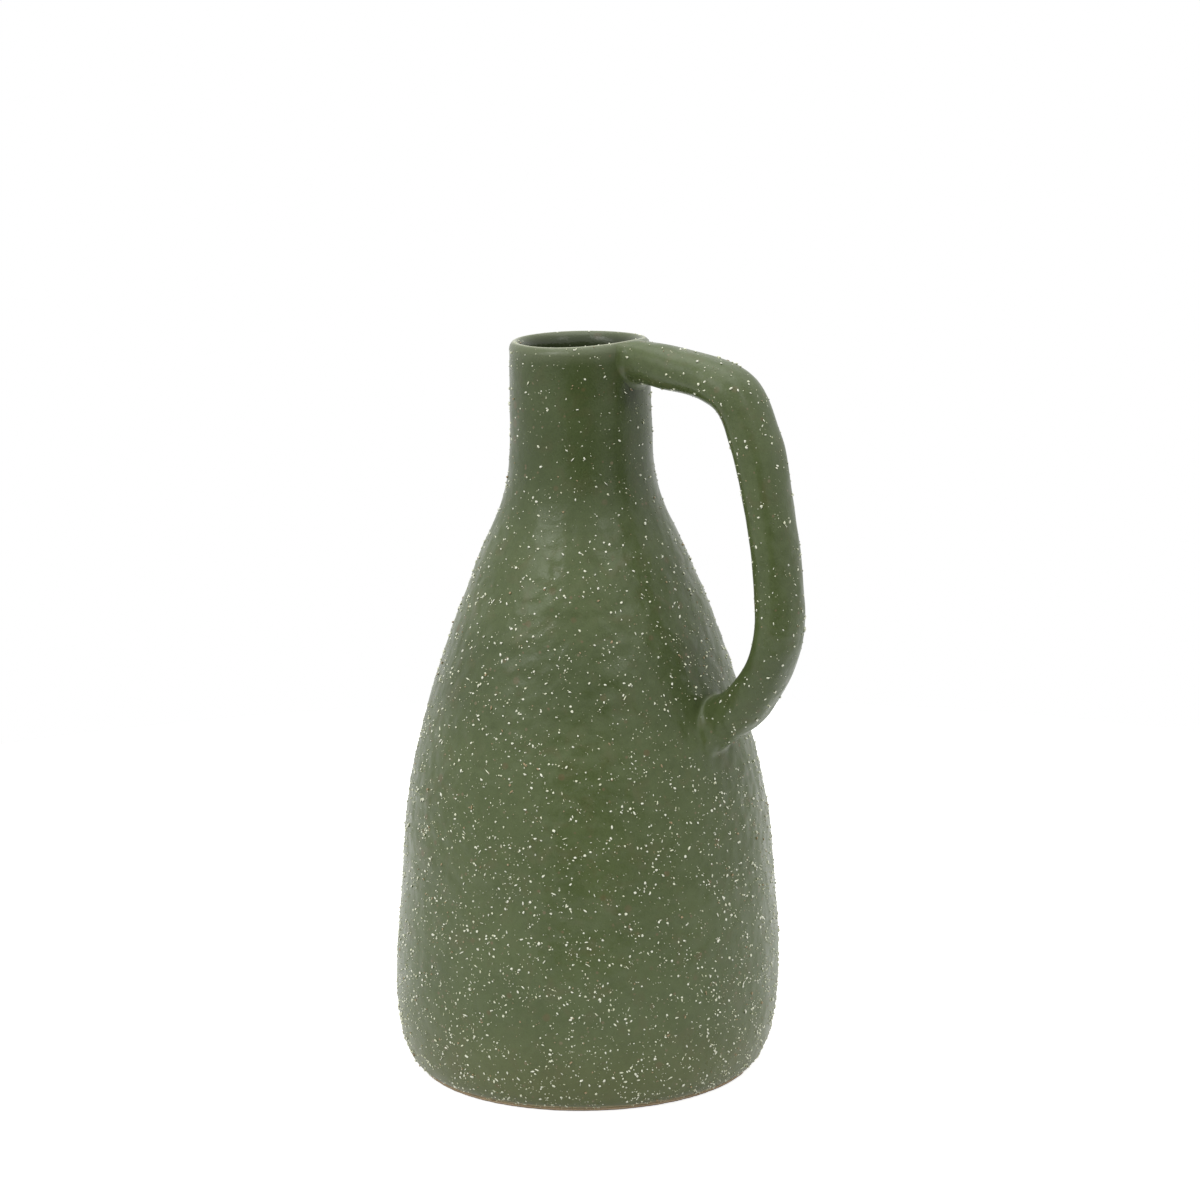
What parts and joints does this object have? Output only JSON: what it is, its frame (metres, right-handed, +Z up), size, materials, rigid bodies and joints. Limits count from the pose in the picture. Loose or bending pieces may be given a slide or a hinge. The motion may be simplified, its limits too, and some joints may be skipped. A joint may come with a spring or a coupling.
{
  "type": "one-handled ceramic vase",
  "caption": "Tall stoneware vase with a wide round belly, a narrow straight neck and one strap handle from the rim to the belly.",
  "frame": {"origin": "centre of the flat underside, on the vase's axis", "axes": "+Z up along the vase's axis, +X towards the handle, +Y to the left of the handle seen from outside it"},
  "size_m": [0.1515, 0.131, 0.2505],
  "materials": {
    "green_glaze": "satin moss-green glaze over stoneware, with raised cream grit",
    "bare_stoneware": "unglazed fired stoneware"
  },
  "bodies": {
    "root": {"base_slab": "bare_stoneware", "base_seam_coil": "green_glaze", "body_wall": "green_glaze", "neck_collar": "green_glaze", "handle": "green_glaze", "upper_handle_coil": "green_glaze", "lower_handle_coil": "green_glaze"}
  },
  "joints": []
}
